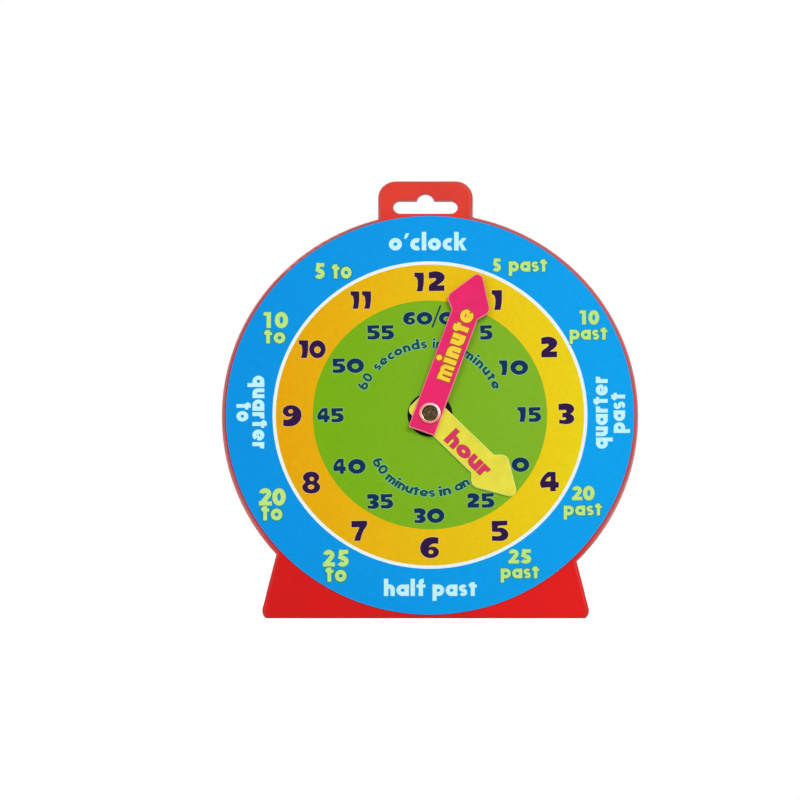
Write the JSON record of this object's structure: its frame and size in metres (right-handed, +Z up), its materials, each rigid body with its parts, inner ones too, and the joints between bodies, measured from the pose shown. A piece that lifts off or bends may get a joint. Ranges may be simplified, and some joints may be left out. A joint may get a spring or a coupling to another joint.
{
  "type": "geared teaching clock",
  "caption": "Geared teaching clock: a leaning round board with a printed dial, coupled arrow hands, a hanging slot and a fold-out leg behind.",
  "frame": {"origin": "on the floor under the middle of the whole clock, below its bounding box's centre", "axes": "+Z up; -Y the way the dial faces; +X to the right of a reader who looks at the dial"},
  "size_m": [0.2062, 0.0526, 0.2164],
  "materials": {
    "board_red": "moulded ABS, satin gloss",
    "dial_print": "printed and laminated card",
    "cover_red": "moulded ABS, fine matt",
    "leg_red": "moulded ABS, satin gloss",
    "hub_black": "moulded black acetal",
    "hour_yellow": "moulded, printed lettering",
    "minute_pink": "moulded, printed lettering",
    "gear_white": "moulded natural acetal",
    "washer_clear": "punched nylon sheet",
    "rivet_steel": "plated and rolled",
    "spring_steel": "spring steel",
    "pin_steel": "drawn wire",
    "screw_steel": "zinc plated"
  },
  "bodies": {
    "case": {"clock_board": "board_red", "dial_card": "dial_print", "gear_cover": "cover_red", "centre_rivet": "rivet_steel", "spring_washer": "spring_steel", "rivet_washer": "rivet_steel", "idler_pin": "pin_steel", "idler_washer": "washer_clear", "hinge_pin": "pin_steel", "thrust_washer": "washer_clear", "cover_screws": "screw_steel"},
    "minute": {"minute_hand": "minute_pink", "minute_pipe": "gear_white", "minute_pinion": "gear_white"},
    "hour": {"hour_wheel": "gear_white", "hub_disc": "hub_black", "hour_hand": "hour_yellow", "hand_washer": "washer_clear"},
    "idler": {"idler_gear": "gear_white"},
    "leg": {"prop_leg": "leg_red"}
  },
  "joints": [
    {"name": "minute_spin", "type": "hinge", "parent": "case", "child": "minute", "pos_m": [0, -0.00383, 0.1004], "axis": [0, 0.9759, -0.2181], "continuous": true},
    {"name": "hour_spin", "type": "hinge", "parent": "case", "child": "hour", "pos_m": [0, -0.00383, 0.1004], "axis": [0, 0.9759, -0.2181], "continuous": true},
    {"name": "idler_spin", "type": "hinge", "parent": "case", "child": "idler", "pos_m": [0, 0.00857, 0.12837], "axis": [0, 0.9759, -0.2181], "continuous": true},
    {"name": "leg_fold", "type": "hinge", "parent": "case", "child": "leg", "pos_m": [0, -0.00312, 0.06233], "axis": [1, 0, 0], "range_deg": [-29, 0]}
  ],
  "couplings": [
    {"joint": "hour_spin", "follows": "minute_spin", "ratio": 0.083333},
    {"joint": "idler_spin", "follows": "minute_spin", "ratio": -0.33333}
  ]
}
